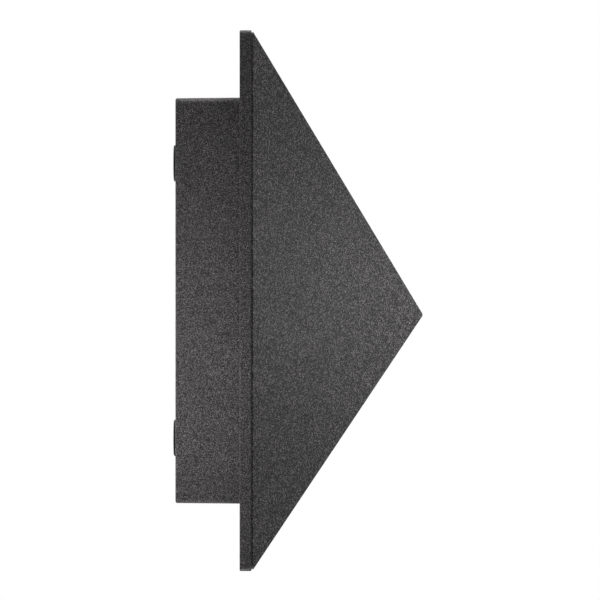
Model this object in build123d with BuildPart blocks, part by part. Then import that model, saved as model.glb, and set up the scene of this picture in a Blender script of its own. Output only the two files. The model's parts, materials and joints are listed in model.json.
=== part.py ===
from build123d import *
import os
from math import atan2, cos, radians, sin, tan

# Square outdoor wall light with a pyramid front, in millimetres.
# X points out of the wall and Z up. The origin lies on the wall, in the middle of the four wall bushes.
# Left and right are as seen from the front, so left is -Y.

# Head outline
front_size = 250.0
front_corner_radius = 2.5
rim_thickness = 5.5
rim_back_radius = 0.5
rim_front_radius = 0.6
seam_width = 0.5
seam_depth = 1.0

# Pyramid cover
pyramid_height = 82.6
apex_drop = 7.0
tip_size = 1.2
ridge_radius = 0.8
cover_wall = 2.5
cover_land = 0.3
cover_boss_radius = 5.5

# Wall box, set back from the head's edge by the overhang
overhang = 29.75
box_depth = 30.5
box_wall = 2.5
box_floor = 3.0
box_draft = 0.5
box_corner_radius = 3.0
box_back_radius = 0.8
box_standoff = 1.6
floor_rib_height = 2.0
floor_rib_width = 2.5
pad_margin = 3.0

# Rubber wall bushes and cable grommet
bush_inset = 30.0
bush_radius = 8.7
bush_edge_radius = 0.8
bush_neck_radius = 5.0
bush_bore_radius = 2.6
grommet_radius = 11.0
grommet_neck_radius = 8.0
grommet_recess = 0.7
cable_bore_radius = 4.0
nipple_length = 8.0
nipple_wall = 1.8
rubber_lip = 1.5
neck_clearance = 0.1

# Set screws that hold the head, with their bosses in the box
set_screw_radius = 2.5
set_screw_recess = 0.6
set_screw_gap = 0.1
set_screw_socket = 2.5
lock_boss_width = 14.0
lock_boss_height = 8.0
lock_boss_length = 11.5
lock_boss_root = 1.25

# Rim frame
skirt_depth = 12.0
skirt_wall = 2.4
skirt_clearance = 0.5
lock_tab_thickness = 2.4
lock_tab_clearance = 0.3
joint_groove_depth = 1.5
joint_groove_clearance = 0.5
standoff_height = 4.0
standoff_radius = 4.0
standoff_inset = 4.25

# Light windows and their diffusers
window_margin = 4.0
window_width = 12.0
window_setback = 11.25
window_corner_radius = 2.0
window_ledge = 2.0
ledge_thickness = 2.5
diffuser_flange = 2.0
diffuser_recess = 0.3
diffuser_clearance = 0.15

# Gaskets
box_gasket_thickness = 1.0
cover_gasket_width = 2.0
cover_gasket_height = 1.2
cover_gasket_inset = 2.2
gasket_clearance = 0.05

# Mounting plate and LED boards
plate_thickness = 1.5
plate_clearance = 1.2
plate_chamfer = 18.0
board_width = 8.0
board_thickness = 1.2
board_end_margin = 2.0
board_screw_step = 4
pad_inset = 1.0
link_inset = 4.0
link_run = 6.0
chip_length = 3.5
chip_width = 2.8
chip_height = 0.8
chip_pitch = 13.0
chip_end_margin = 2.0

# LED driver, screwed to the plate above the middle
driver_length = 116.0
driver_width = 44.0
driver_height = 22.0
driver_base_thickness = 3.0
driver_wall = 2.0
driver_ear = 10.0
driver_ear_width = 14.6
driver_corner_radius = 3.0
driver_side_gap = 3.0
driver_top_gap = 14.0

# Supply terminals, screwed to the plate below the middle, and the earth point
pole_count = 3
pole_pitch = 10.0
terminal_depth = 20.0
terminal_height = 16.0
terminal_end_wall = 2.0
terminal_ear = 9.0
terminal_ear_thickness = 4.0
terminal_side_gap = 10.0
terminal_bottom_gap = 26.0
pole_groove_width = 1.2
pole_groove_depth = 2.5
clamp_side = 6.0
clamp_bore_radius = 1.7
clamp_clearance = 0.15
clamp_setback = 2.0
pole_slot_width = 1.0
pole_slot_depth = 1.5
earth_gap = 20.0
earth_rise = 8.0
lug_radius = 4.6
lug_thickness = 0.8
lug_barrel_radius = 1.9
lug_barrel_length = 7.0
lug_tongue = 6.0

# Inner wires
lead_radius = 1.0
led_lead_radius = 0.8
lead_clearance = 0.3
wire_height = 7.0
lead_insertion = 6.5
earth_arch = 34.0
bend_share = 0.45

# Machine screws: thread radius, head radius, head height and socket width
m25 = (1.25, 2.2, 1.4, 1.5)
m3 = (1.5, 2.8, 1.7, 2.0)
m4 = (2.0, 3.8, 2.3, 2.5)
thread_clearance = 0.05
hole_clearance = 0.2
socket_share = 0.6
cover_screw_inset = 17.0
cover_screw_length = 10.0
cover_screw_sink = 3.0
plate_screw_length = 8.0
board_screw_length = 3.5
driver_screw_length = 6.0
terminal_screw_length = 8.0
earth_screw_length = 6.0
screw_run_out = 0.6

# Depths from the wall
box_back = box_standoff
floor_plane = box_back + box_floor
pad_plane = floor_plane + floor_rib_height
joint_plane = box_back + box_depth
seam_plane = joint_plane + rim_thickness
seat_plane = seam_plane + seam_width
frame_thickness = rim_thickness + seam_width
slope_plane = seam_plane + seam_width / 2
tongue_plane = joint_plane + joint_groove_depth - box_gasket_thickness
ledge_plane = joint_plane + ledge_thickness
plate_plane = seat_plane + standoff_height
plate_front = plate_plane + plate_thickness
board_plane = plate_plane - board_thickness
wire_plane = plate_plane - wire_height
lock_plane = joint_plane - skirt_depth / 2

# Places across the wall
box_size = front_size - 2 * overhang
box_inner = box_size - 2 * box_wall
bush_pitch = box_size - 2 * bush_inset
skirt_outer = box_inner - 2 * skirt_clearance
skirt_inner = skirt_outer - 2 * skirt_wall
groove_outer = box_size + 2 * joint_groove_clearance
lock_boss_face = box_inner / 2 - lock_boss_height
lock_tab_face = lock_boss_face - lock_tab_clearance
opening_size = 2 * (lock_tab_face - lock_tab_thickness)
standoff_pitch = box_size - 2 * standoff_inset
window_centre = box_size / 2 + window_margin + window_width / 2
window_length = box_size - 2 * window_setback
cover_screw_pitch = front_size - 2 * cover_screw_inset
cover_gasket_outer = front_size - 2 * cover_gasket_inset
cover_gasket_inner = cover_gasket_outer - 2 * cover_gasket_width
board_length = window_length - 2 * board_end_margin
board_screw_reach = board_screw_step * chip_pitch
pad_reach = board_width / 2 - pad_inset
chip_count = int((board_length - 2 * chip_end_margin) // chip_pitch)
driver_y = opening_size / 2 - driver_side_gap - driver_ear - driver_length / 2
driver_z = opening_size / 2 - driver_top_gap - driver_width / 2
driver_screw_reach = driver_length / 2 + driver_ear / 2
terminal_length = pole_count * pole_pitch + 2 * terminal_end_wall
terminal_screw_reach = terminal_length / 2 + terminal_ear / 2
terminal_y = terminal_side_gap + terminal_ear + terminal_length / 2 - opening_size / 2
terminal_z = terminal_bottom_gap + terminal_depth / 2 - opening_size / 2
terminal_top = terminal_z + terminal_depth / 2
earth_y = terminal_y + terminal_length / 2 + terminal_ear + earth_gap
earth_z = terminal_z + earth_rise
pole_places = [terminal_y + (i - (pole_count - 1) / 2) * pole_pitch for i in range(pole_count)]
clamp_length = terminal_depth - 2 * clamp_setback
sides = {"right": 0, "top": 90, "left": 180, "bottom": 270}

# Share of the head's outline that the inside of the cover's slopes keeps, for an even wall
slope_angle = atan2(pyramid_height, front_size / 2)
inner_share = 1 - cover_wall / (cos(slope_angle) * pyramid_height)


def across(depth):
    """Plane parallel to the wall at a depth, facing out, with Y to its right and Z up."""
    return Plane.YZ.offset(depth)


def side_plane(depth, angle):
    """Plane parallel to the wall whose own X direction points at one side of the light."""
    return Plane(origin=(depth, 0, 0), x_dir=(0, cos(radians(angle)), sin(radians(angle))), z_dir=(1, 0, 0))


def box_side(depth):
    """Outer side of the drafted wall box at a depth."""
    return box_size - 2 * (joint_plane - depth) * tan(radians(box_draft))


def slope_drop(depth):
    """How far the pyramid's middle has dropped at a depth."""
    return apex_drop * (depth - slope_plane) / pyramid_height


def slope_side(depth, share):
    """Side of the square that the slopes cut at a depth: share is 1 outside, inner_share inside."""
    return front_size * (share - (depth - slope_plane) / pyramid_height)


def slope_depth(side, share):
    """Depth at which the slopes have closed in to a side."""
    return slope_plane + pyramid_height * (share - side / front_size)


def square_section(depth, side, radius):
    """Rounded square parallel to the wall."""
    with BuildSketch(across(depth)) as section:
        RectangleRounded(side, side, radius)
    return section.sketch


def pyramid(first_depth, share):
    """Pyramid with rounded ridges, from a depth to its blunt tip."""
    sections = []
    for depth in (first_depth, slope_depth(tip_size, share)):
        with BuildSketch(across(depth)) as section:
            with Locations((0, -slope_drop(depth))):
                Rectangle(slope_side(depth, share), slope_side(depth, share))
        sections.append(section.sketch)
    with BuildPart() as solid:
        loft(sections=sections, ruled=True)
        fillet(solid.edges().filter_by(Plane.YZ, reverse=True), ridge_radius)
    return solid.part


def save(builder, name):
    """Label a finished piece and write it."""
    builder.part.label = name
    export_step(builder.part, f"parts/{name}.step")


def screws(seat, sense, places, size, length):
    """Socket head screws parallel to X. The heads stand off their seat in the given sense."""
    thread, head, head_height, socket = size
    with BuildPart() as group:
        with BuildSketch(across(seat)):
            with Locations(*places):
                Circle(head)
        extrude(amount=sense * head_height)
        with BuildSketch(across(seat)):
            with Locations(*places):
                Circle(thread)
        extrude(amount=-sense * length)
        with BuildSketch(across(seat + sense * head_height)):
            with Locations(*places):
                RegularPolygon(socket / 2, 6, major_radius=False)
        extrude(amount=-sense * socket_share * head_height, mode=Mode.SUBTRACT)
    return group


def square_places(pitch):
    """Four places at the corners of a square."""
    half = pitch / 2
    return [(y, z) for y in (-half, half) for z in (-half, half)]


def side_places(reach_out, reach_along):
    """A pair of places on each of the four sides."""
    places = []
    for along in (-reach_along, reach_along):
        places += [(reach_out, along), (-reach_out, along), (along, reach_out), (along, -reach_out)]
    return places


os.makedirs("parts", exist_ok=True)

# Wall box: a drafted tray with pads and ribs on its floor, and a boss for each set screw
bush_pad_radius = bush_neck_radius + rubber_lip + pad_margin
grommet_pad_radius = grommet_neck_radius + rubber_lip + pad_margin
inner_corner_radius = box_corner_radius - box_wall / 2
with BuildPart() as back_box:
    loft(
        sections=[
            square_section(box_back, box_side(box_back), box_corner_radius),
            square_section(tongue_plane, box_side(tongue_plane), box_corner_radius),
        ],
        ruled=True,
    )
    fillet(back_box.faces().sort_by(Axis.X)[0].edges(), box_back_radius)
    loft(
        sections=[
            square_section(floor_plane, box_side(floor_plane) - 2 * box_wall, inner_corner_radius),
            square_section(tongue_plane, box_side(tongue_plane) - 2 * box_wall, inner_corner_radius),
        ],
        ruled=True,
        mode=Mode.SUBTRACT,
    )
    with BuildSketch(across(floor_plane)):
        for turn in (45, 135):
            Rectangle(bush_pitch * 2**0.5, floor_rib_width, rotation=turn)
        Circle(grommet_pad_radius)
        with Locations(*square_places(bush_pitch)):
            Circle(bush_pad_radius)
    extrude(amount=floor_rib_height)
    with BuildSketch(across(joint_plane - lock_tab_clearance)):
        for sense in (-1, 1):
            with Locations((0, sense * (lock_boss_face + (lock_boss_height + lock_boss_root) / 2))):
                Rectangle(lock_boss_width, lock_boss_height + lock_boss_root)
    extrude(amount=-lock_boss_length)
    with BuildSketch(across(box_back)):
        Circle(grommet_neck_radius + neck_clearance)
        with Locations(*square_places(bush_pitch)):
            Circle(bush_neck_radius + neck_clearance)
    extrude(amount=pad_plane - box_back, mode=Mode.SUBTRACT)
    with BuildSketch(Plane.XY):
        with Locations((lock_plane, 0)):
            Circle(set_screw_radius + thread_clearance)
    extrude(amount=box_size, both=True, mode=Mode.SUBTRACT)
save(back_box, "back_box")

# Rubber bushes that the wall screws go through. Their outer faces rest on the wall
for height, row in ((bush_pitch / 2, "upper"), (-bush_pitch / 2, "lower")):
    for place, column in ((-bush_pitch / 2, "left"), (bush_pitch / 2, "right")):
        with BuildPart() as wall_bush:
            with BuildSketch(across(0)):
                with Locations((place, height)):
                    Circle(bush_radius)
            extrude(amount=box_back)
            fillet(wall_bush.faces().sort_by(Axis.X)[0].edges(), bush_edge_radius)
            with BuildSketch(across(box_back)):
                with Locations((place, height)):
                    Circle(bush_neck_radius)
            extrude(amount=pad_plane - box_back)
            with BuildSketch(across(pad_plane)):
                with Locations((place, height)):
                    Circle(bush_neck_radius + rubber_lip)
            extrude(amount=rubber_lip)
            with BuildSketch(across(0)):
                with Locations((place, height)):
                    Circle(bush_bore_radius)
            extrude(amount=pad_plane + rubber_lip, mode=Mode.SUBTRACT)
        save(wall_bush, f"wall_bush_{row}_{column}")

# Grommet for the supply cable, with a tapered nipple inside the box
with BuildPart() as cable_grommet:
    lip_plane = pad_plane + rubber_lip
    nipple_plane = lip_plane + nipple_length
    with BuildSketch(Plane.XY):
        with BuildLine():
            Polyline(
                (grommet_recess, cable_bore_radius),
                (grommet_recess, grommet_radius),
                (box_back, grommet_radius),
                (box_back, grommet_neck_radius),
                (pad_plane, grommet_neck_radius),
                (pad_plane, grommet_neck_radius + rubber_lip),
                (lip_plane, grommet_neck_radius + rubber_lip),
                (nipple_plane, cable_bore_radius + nipple_wall),
                (nipple_plane, cable_bore_radius),
                close=True,
            )
        make_face()
    revolve(axis=Axis.X)
save(cable_grommet, "cable_grommet")

# Set screws: their tips press on the frame's lock tabs
set_screw_head = box_side(lock_plane) / 2 - set_screw_recess
for sense, name in ((1, "upper"), (-1, "lower")):
    with BuildPart() as set_screw:
        with BuildSketch(Plane.XY.offset(sense * (lock_tab_face + set_screw_gap))):
            with Locations((lock_plane, 0)):
                Circle(set_screw_radius)
        extrude(amount=sense * (set_screw_head - lock_tab_face - set_screw_gap))
        with BuildSketch(Plane.XY.offset(sense * set_screw_head)):
            with Locations((lock_plane, 0)):
                RegularPolygon(set_screw_socket / 2, 6, major_radius=False)
        extrude(amount=-sense * set_screw_socket, mode=Mode.SUBTRACT)
    save(set_screw, f"{name}_set_screw")

# Rim frame: a flat cast ring with a skirt that slides into the box
with BuildPart() as rim_frame:
    with BuildSketch(across(joint_plane)):
        RectangleRounded(front_size, front_size, front_corner_radius)
        Rectangle(opening_size, opening_size, mode=Mode.SUBTRACT)
    extrude(amount=frame_thickness)
    with BuildSketch(across(seam_plane)):
        Rectangle(front_size + seam_depth, front_size + seam_depth)
        seat_side = front_size - 2 * seam_depth
        RectangleRounded(seat_side, seat_side, front_corner_radius, mode=Mode.SUBTRACT)
    extrude(amount=seam_width, mode=Mode.SUBTRACT)
    fillet(rim_frame.faces().sort_by(Axis.X)[0].outer_wire().edges(), rim_back_radius)
    rim_step = rim_frame.faces().filter_by(Axis.X).filter_by_position(Axis.X, seam_plane, seam_plane)
    fillet(rim_step[0].outer_wire().edges(), rim_front_radius)
    with BuildSketch(across(joint_plane)):
        RectangleRounded(groove_outer, groove_outer, box_corner_radius)
        RectangleRounded(skirt_outer, skirt_outer, box_corner_radius, mode=Mode.SUBTRACT)
    extrude(amount=joint_groove_depth, mode=Mode.SUBTRACT)
    with BuildSketch(across(joint_plane)):
        RectangleRounded(skirt_outer, skirt_outer, box_corner_radius)
        RectangleRounded(skirt_inner, skirt_inner, box_corner_radius - skirt_wall / 2, mode=Mode.SUBTRACT)
        Rectangle(lock_boss_width + 2 * skirt_clearance, box_size, mode=Mode.SUBTRACT)
        for sense in (-1, 1):
            with Locations((0, sense * (lock_tab_face - lock_tab_thickness / 2))):
                Rectangle(lock_boss_width, lock_tab_thickness)
    extrude(amount=-skirt_depth)
    with BuildSketch(across(joint_plane)):
        with PolarLocations(window_centre, len(sides)):
            RectangleRounded(window_width, window_length, window_corner_radius)
    extrude(amount=frame_thickness, mode=Mode.SUBTRACT)
    with BuildSketch(across(ledge_plane)):
        with PolarLocations(window_centre, len(sides)):
            RectangleRounded(
                window_width + 2 * window_ledge, window_length + 2 * window_ledge, window_corner_radius
            )
    extrude(amount=seat_plane - ledge_plane, mode=Mode.SUBTRACT)
    with BuildSketch(across(seat_plane)):
        RectangleRounded(cover_gasket_outer, cover_gasket_outer, front_corner_radius)
        RectangleRounded(cover_gasket_inner, cover_gasket_inner, front_corner_radius, mode=Mode.SUBTRACT)
    extrude(amount=-cover_gasket_height, mode=Mode.SUBTRACT)
    with BuildSketch(across(seat_plane)):
        with Locations(*square_places(standoff_pitch)):
            Circle(standoff_radius)
    extrude(amount=standoff_height)
    with BuildSketch(across(plate_plane)):
        with Locations(*square_places(standoff_pitch)):
            Circle(m3[0] + thread_clearance)
    extrude(amount=-(plate_screw_length - plate_thickness + screw_run_out), mode=Mode.SUBTRACT)
    with BuildSketch(across(joint_plane)):
        with Locations(*square_places(cover_screw_pitch)):
            Circle(m4[0] + hole_clearance)
    extrude(amount=frame_thickness, mode=Mode.SUBTRACT)
    with BuildSketch(across(joint_plane)):
        with Locations(*square_places(cover_screw_pitch)):
            Circle(m4[1] + hole_clearance)
    extrude(amount=cover_screw_sink, mode=Mode.SUBTRACT)
save(rim_frame, "rim_frame")

# Hollow of the cover, less the bosses that its four screws go into
with BuildPart() as cover_hollow:
    add(pyramid(seat_plane, inner_share))
    with BuildSketch(across(seat_plane)):
        with Locations(*square_places(cover_screw_pitch)):
            Circle(cover_boss_radius)
    extrude(amount=pyramid_height, mode=Mode.SUBTRACT)

# Pyramid cover: an even shell on a narrow upright land
land_plane = seat_plane + cover_land
cover_thread_depth = cover_screw_length + cover_screw_sink - frame_thickness + screw_run_out
with BuildPart() as front_cover:
    add(pyramid(land_plane, 1))
    extrude(front_cover.faces().sort_by(Axis.X)[0], amount=cover_land)
    add(cover_hollow.part, mode=Mode.SUBTRACT)
    with BuildSketch(across(seat_plane)):
        with Locations(*square_places(cover_screw_pitch)):
            Circle(m4[0] + thread_clearance)
    extrude(amount=cover_thread_depth, mode=Mode.SUBTRACT)
save(front_cover, "front_cover")
save(
    screws(joint_plane + cover_screw_sink, -1, square_places(cover_screw_pitch), m4, cover_screw_length),
    "cover_screws",
)

# Gaskets, each in its groove of the frame
with BuildPart() as box_gasket:
    with BuildSketch(across(tongue_plane)):
        gasket_outer = groove_outer - 2 * gasket_clearance
        gasket_inner = skirt_outer + 2 * gasket_clearance
        RectangleRounded(gasket_outer, gasket_outer, box_corner_radius)
        RectangleRounded(gasket_inner, gasket_inner, box_corner_radius, mode=Mode.SUBTRACT)
    extrude(amount=box_gasket_thickness)
save(box_gasket, "box_gasket")

with BuildPart() as cover_gasket:
    with BuildSketch(across(seat_plane)):
        gasket_outer = cover_gasket_outer - 2 * gasket_clearance
        gasket_inner = cover_gasket_inner + 2 * gasket_clearance
        RectangleRounded(gasket_outer, gasket_outer, front_corner_radius)
        RectangleRounded(gasket_inner, gasket_inner, front_corner_radius, mode=Mode.SUBTRACT)
    extrude(amount=-cover_gasket_height)
save(cover_gasket, "cover_gasket")

# Mounting plate: sheet on the frame's standoffs, as wide as the cover's slopes allow
plate_size = slope_side(plate_front, inner_share) - 2 * slope_drop(plate_front) - 2 * plate_clearance
driver_places = [(driver_y + sense * driver_screw_reach, driver_z) for sense in (-1, 1)]
terminal_places = [(terminal_y + sense * terminal_screw_reach, terminal_z) for sense in (-1, 1)]
with BuildPart() as mounting_plate:
    with BuildSketch(across(plate_plane)) as outline:
        Rectangle(plate_size, plate_size)
        chamfer(outline.vertices(), plate_chamfer)
        with Locations(*square_places(standoff_pitch)):
            Circle(m3[0] + hole_clearance, mode=Mode.SUBTRACT)
        with Locations(*side_places(window_centre, board_screw_reach)):
            Circle(m25[0] + thread_clearance, mode=Mode.SUBTRACT)
        with Locations(*driver_places, *terminal_places):
            Circle(m3[0] + thread_clearance, mode=Mode.SUBTRACT)
        with Locations((earth_y, earth_z)):
            Circle(m4[0] + thread_clearance, mode=Mode.SUBTRACT)
    extrude(amount=plate_thickness)
save(mounting_plate, "mounting_plate")
save(screws(plate_front, 1, square_places(standoff_pitch), m3, plate_screw_length), "plate_screws")

# On each side of the light: an opal diffuser bar, an LED board and its row of LEDs
for side, angle in sides.items():
    with BuildPart() as diffuser:
        with BuildSketch(side_plane(joint_plane + diffuser_recess, angle)):
            with Locations((window_centre, 0)):
                RectangleRounded(
                    window_width - 2 * diffuser_clearance,
                    window_length - 2 * diffuser_clearance,
                    window_corner_radius - diffuser_clearance,
                )
        extrude(amount=ledge_thickness - diffuser_recess)
        with BuildSketch(side_plane(ledge_plane, angle)):
            with Locations((window_centre, 0)):
                RectangleRounded(
                    window_width + 2 * window_ledge - 2 * diffuser_clearance,
                    window_length + 2 * window_ledge - 2 * diffuser_clearance,
                    window_corner_radius - diffuser_clearance,
                )
        extrude(amount=diffuser_flange)
    save(diffuser, f"diffuser_{side}")

    with BuildPart() as led_board:
        with BuildSketch(side_plane(board_plane, angle)):
            with Locations((window_centre, 0)):
                Rectangle(board_width, board_length)
            with Locations((window_centre, -board_screw_reach), (window_centre, board_screw_reach)):
                Circle(m25[0] + hole_clearance, mode=Mode.SUBTRACT)
        extrude(amount=board_thickness)
    save(led_board, f"led_board_{side}")

    with BuildPart() as led_chips:
        with BuildSketch(side_plane(board_plane, angle)):
            with Locations((window_centre, 0)):
                with GridLocations(chip_width, chip_pitch, 1, chip_count):
                    Rectangle(chip_width, chip_length)
        extrude(amount=-chip_height)
    save(led_chips, f"led_chips_{side}")
board_places = side_places(window_centre, board_screw_reach)
save(screws(board_plane, -1, board_places, m25, board_screw_length), "board_screws")

# LED driver: a flat base with two ears, and a hollow cover with a wire hole for each lead
driver_ends = (driver_y - driver_length / 2, driver_y + driver_length / 2)
driver_lead_pitch = driver_width / 5
mains_rise = (driver_z + driver_lead_pitch, driver_z)
led_rise = (driver_z - driver_lead_pitch, driver_z - 2 * driver_lead_pitch)
driver_lid_plane = plate_plane - driver_base_thickness
with BuildPart() as driver_base:
    with BuildSketch(across(plate_plane)):
        with Locations((driver_y, driver_z)):
            RectangleRounded(driver_length, driver_width, driver_corner_radius)
            SlotOverall(driver_length + 2 * driver_ear, driver_ear_width)
        with Locations(*driver_places):
            Circle(m3[0] + hole_clearance, mode=Mode.SUBTRACT)
    extrude(amount=-driver_base_thickness)
save(driver_base, "driver_base")

with BuildPart() as driver_cover:
    with BuildSketch(across(driver_lid_plane)):
        with Locations((driver_y, driver_z)):
            RectangleRounded(driver_length, driver_width, driver_corner_radius)
    extrude(amount=-(driver_height - driver_base_thickness))
    fillet(driver_cover.faces().sort_by(Axis.X)[0].edges(), driver_corner_radius / 2)
    offset(amount=-driver_wall, openings=driver_cover.faces().sort_by(Axis.X)[-1])
    with BuildSketch(Plane.XZ.offset(-driver_ends[0])):
        with Locations(*[(wire_plane, rise) for rise in mains_rise]):
            Circle(lead_radius + lead_clearance)
    extrude(amount=2 * driver_wall, both=True, mode=Mode.SUBTRACT)
    with BuildSketch(Plane.XZ.offset(-driver_ends[1])):
        with Locations(*[(wire_plane, rise) for rise in led_rise]):
            Circle(led_lead_radius + lead_clearance)
    extrude(amount=2 * driver_wall, both=True, mode=Mode.SUBTRACT)
save(driver_cover, "driver_cover")
save(screws(plate_plane - driver_base_thickness, -1, driver_places, m3, driver_screw_length), "driver_screws")

# Supply terminals: an insulating body with a brass clamp and two screws for each pole
clamp_screw_reach = clamp_length / 4
pole_screws = [(y, terminal_z + sense * clamp_screw_reach) for y in pole_places for sense in (-1, 1)]
clamp_top = wire_plane - clamp_side / 2
terminal_face = plate_plane - terminal_height
with BuildPart() as terminal_block:
    with BuildSketch(across(plate_plane)):
        with Locations((terminal_y, terminal_z)):
            Rectangle(terminal_length, terminal_depth)
    extrude(amount=-terminal_height)
    with BuildSketch(across(plate_plane)):
        with Locations((terminal_y, terminal_z)):
            SlotOverall(terminal_length + 2 * terminal_ear, terminal_ear)
    extrude(amount=-terminal_ear_thickness)
    with BuildSketch(across(terminal_face)):
        with Locations((terminal_y, terminal_z)):
            with GridLocations(pole_pitch, terminal_depth, pole_count - 1, 1):
                Rectangle(pole_groove_width, terminal_depth)
    extrude(amount=pole_groove_depth, mode=Mode.SUBTRACT)
    with BuildSketch(Plane.XY.offset(terminal_z)):
        with Locations(*[(wire_plane, y) for y in pole_places]):
            Rectangle(clamp_side + 2 * clamp_clearance, clamp_side + 2 * clamp_clearance)
    extrude(amount=terminal_depth / 2, both=True, mode=Mode.SUBTRACT)
    with BuildSketch(across(terminal_face)):
        with Locations(*pole_screws):
            Circle(m3[0] + hole_clearance)
    extrude(amount=clamp_top - terminal_face, mode=Mode.SUBTRACT)
    with BuildSketch(across(plate_plane)):
        with Locations(*terminal_places):
            Circle(m3[0] + hole_clearance)
    extrude(amount=-terminal_ear_thickness, mode=Mode.SUBTRACT)
save(terminal_block, "terminal_block")

with BuildPart() as terminal_clamps:
    with BuildSketch(Plane.XY.offset(terminal_z)):
        with Locations(*[(wire_plane, y) for y in pole_places]):
            Rectangle(clamp_side, clamp_side)
            Circle(clamp_bore_radius, mode=Mode.SUBTRACT)
    extrude(amount=clamp_length / 2, both=True)
    with BuildSketch(across(clamp_top)):
        with Locations(*pole_screws):
            Circle(m3[0] + thread_clearance)
    extrude(amount=clamp_side / 2, mode=Mode.SUBTRACT)
save(terminal_clamps, "terminal_clamps")

with BuildPart() as terminal_screws:
    screw_tip = wire_plane - lead_radius - thread_clearance
    screw_head = terminal_face + screw_run_out
    with BuildSketch(across(screw_head)):
        with Locations(*pole_screws):
            Circle(m3[0])
    extrude(amount=screw_tip - screw_head)
    with BuildSketch(across(screw_head)):
        with Locations(*pole_screws):
            Rectangle(2 * m3[0], pole_slot_width)
    extrude(amount=pole_slot_depth, mode=Mode.SUBTRACT)
save(terminal_screws, "terminal_screws")
save(
    screws(plate_plane - terminal_ear_thickness, -1, terminal_places, m3, terminal_screw_length),
    "terminal_fixing_screws",
)

# Earth point: a ring lug with a crimped barrel, under a screw in the plate
barrel_plane = plate_plane - lug_barrel_radius - thread_clearance
barrel_start = earth_z + lug_tongue
with BuildPart() as earth_lug:
    with BuildSketch(across(plate_plane)):
        with Locations((earth_y, earth_z)):
            Circle(lug_radius)
            Rectangle(2 * lug_barrel_radius, lug_tongue + lug_barrel_length, align=(Align.CENTER, Align.MIN))
            Circle(m4[0] + hole_clearance, mode=Mode.SUBTRACT)
    extrude(amount=-lug_thickness)
    with BuildSketch(Plane.XY.offset(barrel_start)):
        with Locations((barrel_plane, earth_y)):
            Circle(lug_barrel_radius)
    extrude(amount=lug_barrel_length)
    with BuildSketch(Plane.XY.offset(barrel_start)):
        with Locations((barrel_plane, earth_y)):
            Circle(lead_radius + thread_clearance)
    extrude(amount=lug_barrel_length, mode=Mode.SUBTRACT)
save(earth_lug, "earth_lug")
save(screws(plate_plane - lug_thickness, -1, [(earth_y, earth_z)], m4, earth_screw_length), "earth_screw")


def bend_radii(points):
    """The largest bend that the two runs beside each corner of a route allow."""
    radii = []
    for before, corner, after in zip(points, points[1:], points[2:]):
        first = Vector(corner) - Vector(before)
        second = Vector(after) - Vector(corner)
        half_turn = radians(first.get_angle(second)) / 2
        radii.append(bend_share * min(first.length, second.length) / tan(half_turn))
    return radii


def lead(points, radius):
    """One insulated wire along its route."""
    bends = bend_radii(points)
    print("lead bends", [round(bend, 1) for bend in bends])
    with BuildPart() as wire:
        with BuildLine() as route:
            FilletPolyline(*points, radius=bends)
        with BuildSketch(Plane(origin=route.line @ 0, z_dir=route.line % 0)):
            Circle(radius)
        sweep(path=route.line)
    return wire


# Mains leads: out of the top of the terminals and round into the driver's left end.
# The neutral runs nearer to the plate than the live
lead_start = terminal_top - lead_insertion
neutral_plane = wire_plane + 2 * (lead_radius + lead_clearance)
driver_left = driver_ends[0]
lead_room = driver_left + opening_size / 2
live_route = [
    (wire_plane, pole_places[0], lead_start),
    (wire_plane, pole_places[0] - 1, terminal_top + 20),
    (wire_plane, driver_left - 0.6 * lead_room, (terminal_top + mains_rise[0]) / 2 + 3),
    (wire_plane, driver_left - 0.72 * lead_room, mains_rise[0] - 17),
    (wire_plane, driver_left - 0.37 * lead_room, mains_rise[0]),
    (wire_plane, driver_left + 2 * driver_wall, mains_rise[0]),
]
neutral_route = [
    (wire_plane, pole_places[1], lead_start),
    (neutral_plane, pole_places[1] - 1, terminal_top + 18),
    (neutral_plane, driver_left - 0.17 * lead_room, (terminal_top + mains_rise[1]) / 2 + 1),
    (neutral_plane, driver_left - 0.44 * lead_room, mains_rise[1] - 17),
    (wire_plane, driver_left - 0.34 * lead_room, mains_rise[1]),
    (wire_plane, driver_left + 2 * driver_wall, mains_rise[1]),
]
save(lead(live_route, lead_radius), "lead_live")
save(lead(neutral_route, lead_radius), "lead_neutral")

# Earth lead: an arch from the third pole to the barrel of the lug
earth_span = earth_y - pole_places[2]
earth_route = [
    (wire_plane, pole_places[2], lead_start),
    (wire_plane, pole_places[2] + 0.03 * earth_span, terminal_top + 0.35 * earth_arch),
    (wire_plane + lead_radius, pole_places[2] + 0.19 * earth_span, terminal_top + 0.82 * earth_arch),
    (wire_plane + 3 * lead_radius, pole_places[2] + 0.61 * earth_span, terminal_top + earth_arch),
    (barrel_plane - lead_radius, pole_places[2] + 0.92 * earth_span, terminal_top + 0.76 * earth_arch),
    (barrel_plane, earth_y, terminal_top + 0.44 * earth_arch),
    (barrel_plane, earth_y, barrel_start + lug_barrel_length / 2),
]
save(lead(earth_route, lead_radius), "lead_earth")

# LED leads: out of the driver's right end and over the frame to the right-hand board
pad_depth = board_plane - led_lead_radius - thread_clearance
driver_right = driver_ends[1]
for rise, name in zip(led_rise, ("plus", "minus")):
    led_route = [
        (wire_plane, driver_right - 2 * driver_wall, rise),
        (wire_plane, driver_right + 3, rise),
        (pad_depth, opening_size / 2 - 2, rise),
        (pad_depth, window_centre - pad_reach, rise),
    ]
    save(lead(led_route, led_lead_radius), f"lead_led_{name}")

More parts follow.
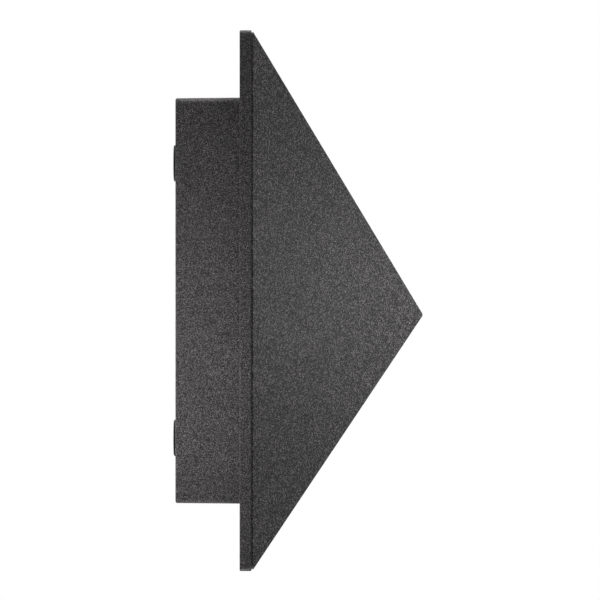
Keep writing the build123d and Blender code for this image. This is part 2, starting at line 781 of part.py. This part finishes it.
# Pairs of links between neighbouring boards, round three of the corners
link_end = board_length / 2 - link_inset
link_bend = link_end + link_run
with BuildPart() as board_links:
    for angle in (sides["top"], sides["left"], sides["bottom"]):
        for place in (window_centre - pad_reach, window_centre + pad_reach):
            with BuildLine(side_plane(pad_depth, angle)) as route:
                Line((place, link_end), (place, link_bend))
                RadiusArc((place, link_bend), (link_bend, place), link_bend - place)
                Line((link_bend, place), (link_end, place))
            with BuildSketch(Plane(origin=route.line @ 0, z_dir=route.line % 0)):
                Circle(led_lead_radius)
            sweep(path=route.line)
save(board_links, "board_links")
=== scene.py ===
import json
import math

import bpy
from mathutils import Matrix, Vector


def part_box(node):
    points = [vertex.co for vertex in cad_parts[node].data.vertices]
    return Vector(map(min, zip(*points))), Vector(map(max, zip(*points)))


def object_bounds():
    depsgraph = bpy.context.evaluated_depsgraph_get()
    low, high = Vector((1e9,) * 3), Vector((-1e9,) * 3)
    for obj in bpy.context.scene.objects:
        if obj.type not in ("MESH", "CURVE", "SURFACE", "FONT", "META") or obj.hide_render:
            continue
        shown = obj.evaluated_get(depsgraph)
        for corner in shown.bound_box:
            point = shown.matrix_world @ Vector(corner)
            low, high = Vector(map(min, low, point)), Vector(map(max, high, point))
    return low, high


# Square outdoor wall light with a pyramid front, in metres.
# X points out of the wall and Z up. The camera looks along +Y at the light's left side.

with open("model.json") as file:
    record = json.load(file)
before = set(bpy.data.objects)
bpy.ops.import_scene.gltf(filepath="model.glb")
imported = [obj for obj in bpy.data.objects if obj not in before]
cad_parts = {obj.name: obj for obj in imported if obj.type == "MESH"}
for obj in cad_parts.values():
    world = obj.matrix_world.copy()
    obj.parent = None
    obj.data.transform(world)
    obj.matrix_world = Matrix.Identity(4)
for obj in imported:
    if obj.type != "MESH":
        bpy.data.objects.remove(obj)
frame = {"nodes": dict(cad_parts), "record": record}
cad_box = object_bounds()

# Camera: the photograph's frame and where its middle falls on the light
photo_side = 600
pixel_size = 0.0004616
camera_distance = 2.0
view_centre_x = 0.0600
view_centre_z = 0.0003
sensor_width = 36.0

# Stage: a pale floor well below the light, and white behind the light and in its reflections
white = (1, 1, 1, 1)
floor_drop = 2.4
floor_size = 24.0
floor_colour = (0.86, 0.86, 0.86, 1)
floor_patch_size = 0.4
floor_patch_shade = 0.98
floor_roughness = 0.8
floor_glow = 0.6
world_strength = 0.17
backdrop_strength = 1.0

# Soft lights: place, aim, side lengths and power in watts
lights = {
    "left_box": ((-0.07, -0.183, -0.036), (0.0, -0.095, -0.036), (0.10, 0.10), 0.207),
    "right_box": ((-0.07, 0.183, -0.036), (0.0, 0.095, -0.036), (0.10, 0.10), 0.207),
    "front_box": ((0.21, -0.035, 0.003), (0.10, -0.03, 0.0), (0.09, 0.09), 0.085),
    "top_box": ((0.1, 0.0, 1.3), (0.05, 0.0, 0.0), (0.8, 0.8), 22.0),
    "low_box": ((0.1, 0.0, -1.1), (0.05, 0.0, 0.0), (0.8, 0.8), 10.0),
    "rear_box": ((-1.1, 0.6, 0.4), (0.0, 0.0, 0.0), (0.8, 0.8), 3.0),
}

# Noise: how rough it is, and the values between which a mottled surface changes
noise_roughness = 0.6
noise_low, noise_high = 0.3, 0.7

# Powder coat: size of its grain, which is coarser on the cover
grain_size = 0.00017
cover_grain_size = 0.00034
# Its colours: painted shade in the grain's hollows, the body, and painted glints on the few
# crests, where light would catch them
coat_painted_hollow_shade = (0.012, 0.0114, 0.0117, 1)
coat_body = (0.025, 0.0237, 0.0243, 1)
coat_painted_glint = (0.39, 0.368, 0.378, 1)
painted_glint_start = 0.75
# Its faint clouds, its relief, and its gloss from hollow to crest
coat_cloud_size = 0.03
coat_cloud_shade = (0.9, 0.9, 0.9, 1)
coat_dip_share = 0.5
coat_bump_depth = 0.00008
coat_bump_strength = 0.6
hollow_tone, crest_tone = 0.2, 0.8
hollow_roughness, crest_roughness = 0.7, 0.45
coat_sheen = 0.18

# Rubber: its sheen, and the noise values between which dust shows
rubber_sheen = 0.12
dust_low, dust_high = 0.35, 0.75

# How far the roughness of metal and plastic strays below and above its mean
metal_smoother, metal_rougher = 0.08, 0.10
plastic_smoother, plastic_rougher = 0.06, 0.08

# Wires: how squarely a surface faces the wall or the front where a second colour shows
stripe_start = 0.72

# LED boards: place and half width of the copper tracks, and length of the bare pads at the ends
track_offset = 0.0026
track_half_width = 0.0007
track_show_through = 0.5
pad_length = 0.0055
# LED chips: their pitch, and half sizes of the phosphor window
chip_pitch = 0.013
window_half_length = 0.0013
window_half_width = 0.00095


class Finish:
    """One procedural material round a Principled shader."""

    def __init__(self, name):
        self.material = bpy.data.materials.new(name)
        self.material.use_nodes = True
        self.tree = self.material.node_tree
        self.shader = self.tree.nodes["Principled BSDF"]
        self.place = self.add("ShaderNodeTexCoord").outputs["Object"]

    def feed(self, socket, value):
        """Join an output to a socket, or set the socket."""
        if isinstance(value, bpy.types.NodeSocket):
            self.tree.links.new(value, socket)
        else:
            socket.default_value = value

    def add(self, kind, inputs=(), **settings):
        """A new node, with its settings and with its inputs set or joined."""
        node = self.tree.nodes.new(kind)
        for key, value in settings.items():
            setattr(node, key, value)
        for key, value in dict(inputs).items():
            self.feed(node.inputs[key], value)
        return node

    def stretched(self, scale):
        """Coordinates drawn out by a factor along each axis."""
        return self.add("ShaderNodeMapping", {"Vector": self.place, "Scale": scale}).outputs[0]

    def axis(self, name, vector=None):
        """One coordinate of a point in metres, or of another vector."""
        return self.add("ShaderNodeSeparateXYZ", {"Vector": vector or self.place}).outputs[name]

    def noise(self, size, detail, place=None):
        """Soft noise with features of a size in metres."""
        inputs = {
            "Vector": place or self.place,
            "Scale": 1 / size,
            "Detail": detail,
            "Roughness": noise_roughness,
        }
        return self.add("ShaderNodeTexNoise", inputs).outputs[0]

    def math(self, operation, *values):
        """A sum or comparison of one to three values."""
        node = self.add("ShaderNodeMath", operation=operation)
        for socket, value in zip(node.inputs, values):
            self.feed(socket, value)
        return node.outputs[0]

    def spread(self, value, low, high, start=noise_low, end=noise_high):
        """A value from start to end brought to a range from low to high."""
        inputs = {
            "Value": value,
            "From Min": start,
            "From Max": end,
            "To Min": low,
            "To Max": high,
        }
        return self.add("ShaderNodeMapRange", inputs).outputs[0]

    def ramp(self, value, *stops):
        """Colours along a value, each stop a position and a colour."""
        node = self.add("ShaderNodeValToRGB", {"Fac": value})
        elements = node.color_ramp.elements
        while len(elements) < len(stops):
            elements.new(0.5)
        for element, (position, colour) in zip(elements, stops):
            element.position = position
            element.color = colour
        return node.outputs["Color"]

    def mottle(self, value, first, second, start=noise_low, end=noise_high):
        """From one colour to another along a value."""
        return self.ramp(value, (start, first), (end, second))

    def blend(self, share, first, second, blend_type="MIX"):
        """A share of the second colour over the first, or the first tinted by it."""
        node = self.add("ShaderNodeMix", data_type="RGBA", blend_type=blend_type)
        # By number, since the node's sockets for other kinds of value have the same names
        for number, value in ((0, share), (6, first), (7, second)):
            self.feed(node.inputs[number], value)
        return node.outputs[2]

    def bump(self, height, depth, strength):
        """Relief on the surface, with a depth in metres."""
        inputs = {"Height": height, "Distance": depth, "Strength": strength}
        normal = self.add("ShaderNodeBump", inputs).outputs[0]
        self.feed(self.shader.inputs["Normal"], normal)

    def set(self, **values):
        """Feed the shader's sockets, named with underscores, and give the material."""
        for key, value in values.items():
            self.feed(self.shader.inputs[key.replace("_", " ")], value)
        return self.material


def shade(colour, factor):
    """A colour made lighter or darker."""
    return tuple(min(1, channel * factor) for channel in colour[:3]) + (1,)


def textured_coat(name, size):
    """Dark powder coat with a sandy grain, its crests lit by painted glints and its hollows
    darkened by painted shade.
    """
    finish = Finish(name)
    sand = finish.add("ShaderNodeTexVoronoi", {"Vector": finish.place, "Scale": 1 / size})
    split = finish.add("ShaderNodeSeparateColor", {"Color": sand.outputs["Color"]})
    tone = split.outputs["Red"]
    # The ramp paints shade into the grain's hollows and glints onto its crests, over the body
    # colour.
    grain_with_painted_light = finish.ramp(tone, (0.0, coat_painted_hollow_shade), (painted_glint_start, coat_body), (1.0, coat_painted_glint))
    cloud = finish.noise(coat_cloud_size, detail=3.0)
    patchy = finish.mottle(cloud, coat_cloud_shade, white)
    dip = finish.math("MULTIPLY", sand.outputs["Distance"], coat_dip_share)
    finish.bump(finish.math("SUBTRACT", tone, dip), coat_bump_depth, coat_bump_strength)
    return finish.set(
        Base_Color=finish.blend(1.0, grain_with_painted_light, patchy, blend_type="MULTIPLY"),
        Roughness=finish.spread(
            tone, hollow_roughness, crest_roughness, start=hollow_tone, end=crest_tone
        ),
        Specular_IOR_Level=coat_sheen,
    )


def rubber(name, colour, smooth, rough):
    """Moulded rubber with a fine skin, and lighter and duller where dust lies."""
    finish = Finish(name)
    skin = finish.noise(size=0.0006, detail=3.0)
    dust = finish.noise(size=0.006, detail=4.0)
    finish.bump(skin, depth=0.00004, strength=0.5)
    clean, dusty = shade(colour, factor=0.8), shade(colour, factor=1.7)
    return finish.set(
        Base_Color=finish.mottle(dust, clean, dusty, start=dust_low, end=dust_high),
        Roughness=finish.spread(dust, smooth, rough, end=dust_high),
        Specular_IOR_Level=rubber_sheen,
    )


def opal_acrylic():
    """Milky acrylic: light enters a little way and scatters."""
    finish = Finish("opal_acrylic")
    milk = finish.noise(size=0.008, detail=2.0)
    haze = finish.noise(size=0.002, detail=3.0)
    finish.bump(haze, depth=0.00002, strength=0.4)
    thin, dense = (0.80, 0.80, 0.78, 1), (0.88, 0.88, 0.86, 1)
    return finish.set(
        Base_Color=finish.mottle(milk, thin, dense),
        Roughness=finish.spread(haze, low=0.30, high=0.42),
        Subsurface_Weight=0.35,
        Subsurface_Radius=(0.003, 0.003, 0.003),
    )


def aluminium_sheet():
    """Mill-finish sheet with rolling lines and a few smears."""
    finish = Finish("aluminium_sheet")
    upright = finish.stretched((1, 1, 0.02))
    lines = finish.noise(size=0.0008, detail=3.0, place=upright)
    smear = finish.noise(size=0.025, detail=3.0)
    finish.bump(lines, depth=0.00002, strength=0.35)
    dull, bright = (0.62, 0.62, 0.63, 1), (0.76, 0.76, 0.77, 1)
    return finish.set(
        Base_Color=finish.mottle(lines, dull, bright),
        Metallic=1.0,
        Roughness=finish.spread(smear, low=0.30, high=0.46),
    )


def metal(name, colour, rough):
    """Turned or plated metal: fine scratches and patches of duller finish."""
    finish = Finish(name)
    along_x = finish.stretched((0.15, 1, 1))
    scratches = finish.noise(size=0.0003, detail=4.0, place=along_x)
    patches = finish.noise(size=0.003, detail=3.0)
    finish.bump(scratches, depth=0.000012, strength=0.4)
    return finish.set(
        Base_Color=finish.mottle(patches, shade(colour, factor=0.78), colour),
        Metallic=1.0,
        Roughness=finish.spread(patches, rough - metal_smoother, rough + metal_rougher),
    )


def moulded_plastic(name, colour, rough):
    """Moulded plastic with a fine spark-eroded skin."""
    finish = Finish(name)
    skin = finish.noise(size=0.0004, detail=2.0)
    flow = finish.noise(size=0.02, detail=2.0)
    finish.bump(skin, depth=0.00003, strength=0.5)
    return finish.set(
        Base_Color=finish.mottle(flow, shade(colour, factor=0.92), colour),
        Roughness=finish.spread(skin, rough - plastic_smoother, rough + plastic_rougher),
    )


def wire(name, colour, stripe=None):
    """Extruded insulation, with a stripe along its back and front where it has two colours."""
    finish = Finish(name)
    scuff = finish.noise(size=0.004, detail=3.0)
    coat = finish.mottle(scuff, shade(colour, factor=0.85), colour)
    if stripe:
        normal = finish.add("ShaderNodeNewGeometry").outputs["Normal"]
        facing = finish.math("ABSOLUTE", finish.axis("X", normal))
        coat = finish.blend(finish.math("GREATER_THAN", facing, stripe_start), coat, stripe)
    return finish.set(Base_Color=coat, Roughness=finish.spread(scuff, low=0.32, high=0.46))


def led_coordinates(finish):
    """How far a point of the four LED boards lies from its board's middle line, and along it."""
    y = finish.math("ABSOLUTE", finish.axis("Y"))
    z = finish.math("ABSOLUTE", finish.axis("Z"))
    reach = finish.math("MAXIMUM", y, z)
    board_low, board_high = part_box("led_board_right")
    middle = (board_low.y + board_high.y) / 2
    aside = finish.math("ABSOLUTE", finish.math("SUBTRACT", reach, middle))
    return aside, finish.math("MINIMUM", y, z)


def white_board():
    """White solder mask over copper tracks, with tinned pads at the ends."""
    finish = Finish("white_board")
    aside, along = led_coordinates(finish)
    mask = finish.noise(size=0.003, detail=2.0)
    mask_colour = finish.mottle(mask, (0.78, 0.78, 0.76, 1), (0.86, 0.86, 0.84, 1))
    over_copper, tinned = (0.70, 0.69, 0.64, 1), (0.60, 0.60, 0.58, 1)
    track = finish.math("COMPARE", aside, track_offset, track_half_width)
    board_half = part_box("led_board_right")[1].z
    at_end = finish.math("GREATER_THAN", along, board_half - pad_length)
    pad = finish.math("MULTIPLY", track, at_end)
    show_through = finish.math("MULTIPLY", track, track_show_through)
    shaded = finish.blend(show_through, mask_colour, over_copper)
    finish.bump(track, depth=0.00003, strength=0.6)
    return finish.set(
        Base_Color=finish.blend(pad, shaded, tinned),
        Metallic=pad,
        Roughness=finish.spread(mask, low=0.32, high=0.44),
    )


def led_phosphor():
    """White LED package with a yellow phosphor window."""
    finish = Finish("led_phosphor")
    aside, along = led_coordinates(finish)
    in_pitch = finish.math("MODULO", along, chip_pitch)
    off_middle = finish.math("ABSOLUTE", finish.math("SUBTRACT", in_pitch, chip_pitch / 2))
    inside = finish.math(
        "MULTIPLY",
        finish.math("LESS_THAN", off_middle, window_half_length),
        finish.math("LESS_THAN", aside, window_half_width),
    )
    grains = finish.noise(size=0.0002, detail=2.0)
    phosphor = finish.mottle(grains, (0.72, 0.52, 0.05, 1), (0.86, 0.68, 0.12, 1))
    package = (0.84, 0.84, 0.82, 1)
    return finish.set(
        Base_Color=finish.blend(inside, package, phosphor),
        Roughness=finish.spread(grains, low=0.35, high=0.5),
    )


def dress():
    """Give every node the finish of its slot, and the cover its coarser coat."""
    finishes = {
        "textured_coat": textured_coat("textured_coat", grain_size),
        "black_rubber": rubber("black_rubber", (0.006, 0.006, 0.006, 1), smooth=0.5, rough=0.65),
        "silicone_seal": rubber("silicone_seal", (0.10, 0.10, 0.10, 1), smooth=0.45, rough=0.6),
        "opal_acrylic": opal_acrylic(),
        "aluminium_sheet": aluminium_sheet(),
        "white_board": white_board(),
        "led_phosphor": led_phosphor(),
        "driver_plastic": moulded_plastic("driver_plastic", (0.72, 0.72, 0.70, 1), rough=0.5),
        "terminal_plastic": moulded_plastic("terminal_plastic", (0.62, 0.59, 0.50, 1), rough=0.38),
        "terminal_brass": metal("terminal_brass", (0.74, 0.56, 0.26, 1), rough=0.32),
        "zinc_steel": metal("zinc_steel", (0.66, 0.67, 0.68, 1), rough=0.30),
        "stainless_steel": metal("stainless_steel", (0.58, 0.57, 0.56, 1), rough=0.28),
        "black_steel": metal("black_steel", (0.045, 0.045, 0.045, 1), rough=0.38),
        "tinned_copper": metal("tinned_copper", (0.70, 0.68, 0.64, 1), rough=0.34),
        "brown_wire": wire("brown_wire", (0.14, 0.055, 0.022, 1)),
        "blue_wire": wire("blue_wire", (0.025, 0.10, 0.38, 1)),
        "earth_wire": wire("earth_wire", (0.03, 0.26, 0.04, 1), stripe=(0.75, 0.62, 0.03, 1)),
        "red_wire": wire("red_wire", (0.45, 0.02, 0.018, 1)),
        "black_wire": wire("black_wire", (0.014, 0.014, 0.014, 1)),
        "white_wire": wire("white_wire", (0.74, 0.74, 0.72, 1)),
    }
    for subpart in frame["record"]["subparts"]:
        for slot in frame["nodes"][subpart["node"]].material_slots:
            slot.material = finishes[subpart["material_slot"]]
    cover_coat = textured_coat("cover_coat", cover_grain_size)
    frame["nodes"]["front_cover"].material_slots[0].material = cover_coat


def aim(thing, target):
    """Turn a lamp to look at a point."""
    direction = Vector(target) - thing.location
    thing.rotation_euler = direction.to_track_quat("-Z", "Y").to_euler()


def add_object(name, data):
    """A new object in the scene."""
    thing = bpy.data.objects.new(name, data)
    bpy.context.scene.collection.objects.link(thing)
    return thing


def seen_directly(tree):
    """1 for rays from the camera, from mirrors and through glass."""
    path = tree.nodes.new("ShaderNodeLightPath")
    seen = path.outputs["Is Camera Ray"]
    for name in ("Is Glossy Ray", "Is Transmission Ray"):
        either = tree.nodes.new("ShaderNodeMath")
        either.operation = "MAXIMUM"
        tree.links.new(seen, either.inputs[0])
        tree.links.new(path.outputs[name], either.inputs[1])
        seen = either.outputs[0]
    return seen


def add_world():
    """Even soft light, with plain white behind the object and in its reflections."""
    world = bpy.data.worlds.new("studio")
    world.use_nodes = True
    bpy.context.scene.world = world
    tree = world.node_tree
    sky = tree.nodes["Background"]
    strength = tree.nodes.new("ShaderNodeMapRange")
    tree.links.new(seen_directly(tree), strength.inputs["Value"])
    strength.inputs["To Min"].default_value = world_strength
    strength.inputs["To Max"].default_value = backdrop_strength
    sky.inputs["Color"].default_value = white
    tree.links.new(strength.outputs[0], sky.inputs["Strength"])


def add_floor():
    """Plain pale floor, far enough below to stay out of the photograph's view."""
    half = floor_size / 2
    level = cad_box[0][2] - floor_drop
    outline = ((-half, -half), (half, -half), (half, half), (-half, half))
    mesh = bpy.data.meshes.new("floor")
    mesh.from_pydata([(x, y, level) for x, y in outline], [], [(0, 1, 2, 3)])
    floor = add_object("floor", mesh)
    finish = Finish("floor_paint")
    tone = finish.noise(floor_patch_size, detail=2.0)
    glow = finish.math("MULTIPLY", seen_directly(finish.tree), floor_glow)
    paint = finish.set(
        Base_Color=finish.mottle(tone, shade(floor_colour, floor_patch_shade), floor_colour),
        Roughness=floor_roughness,
        Emission_Color=white,
        Emission_Strength=glow,
    )
    mesh.materials.append(paint)


def add_lights():
    """Soft boxes round the object, out of the camera's sight."""
    for name, (place, target, sides, power) in lights.items():
        lamp = bpy.data.lights.new(name, "AREA")
        lamp.shape = "RECTANGLE"
        lamp.size, lamp.size_y = sides
        lamp.energy = power
        thing = add_object(name, lamp)
        thing.location = place
        thing.visible_camera = False
        aim(thing, target)


def add_camera():
    """Level camera at the photograph's angle."""
    camera = bpy.data.cameras.new("camera")
    camera.sensor_width = sensor_width
    camera.lens = sensor_width * camera_distance / (photo_side * pixel_size)
    thing = add_object("camera", camera)
    near_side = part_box("rim_frame")[0].y
    thing.location = (view_centre_x, near_side - camera_distance, view_centre_z)
    thing.rotation_euler = (math.pi / 2, 0, 0)
    bpy.context.scene.camera = thing


dress()
add_world()
add_floor()
add_lights()
add_camera()
bpy.context.scene.view_settings.view_transform = "Standard"
